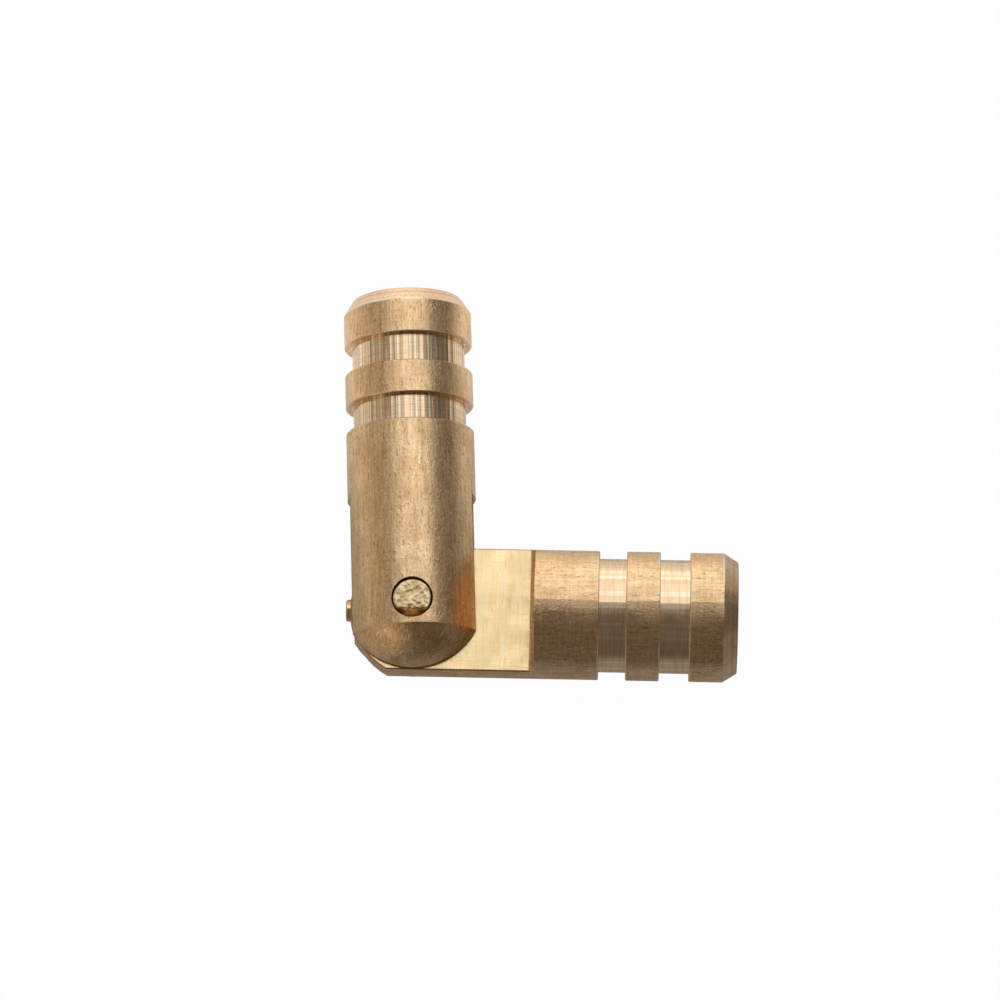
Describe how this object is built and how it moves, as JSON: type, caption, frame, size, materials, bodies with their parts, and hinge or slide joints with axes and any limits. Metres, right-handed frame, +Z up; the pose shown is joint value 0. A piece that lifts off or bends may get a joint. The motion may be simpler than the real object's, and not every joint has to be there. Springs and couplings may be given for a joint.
{
  "type": "invisible barrel hinge",
  "caption": "Small turned brass hinge that hides in round holes: a fork barrel and a tongue barrel on one cross pin, swinging from sharply folded through straight.",
  "frame": {"origin": "on the surface the hinge lies on, under the middle of the whole hinge as it lies half open", "axes": "+X along the tongue barrel from the pivot to its tip; +Z up, along the pivot pin; +Y across, so the fork barrel points to +Y and 3 degrees towards -X"},
  "size_m": [0.0156, 0.015, 0.005],
  "materials": {
    "fork_brass": "satin",
    "tongue_brass": "satin",
    "pin_brass": "satin"
  },
  "bodies": {
    "tongue": {"tongue_barrel": "tongue_brass", "pivot_pin": "pin_brass"},
    "fork": {"fork_barrel": "fork_brass"}
  },
  "joints": [
    {"name": "fork_swing", "type": "hinge", "parent": "tongue", "child": "fork", "pos_m": [-0.00469, -0.00505, 0.0025], "axis": [0, 0, 1], "range_deg": [-33, 207]}
  ]
}
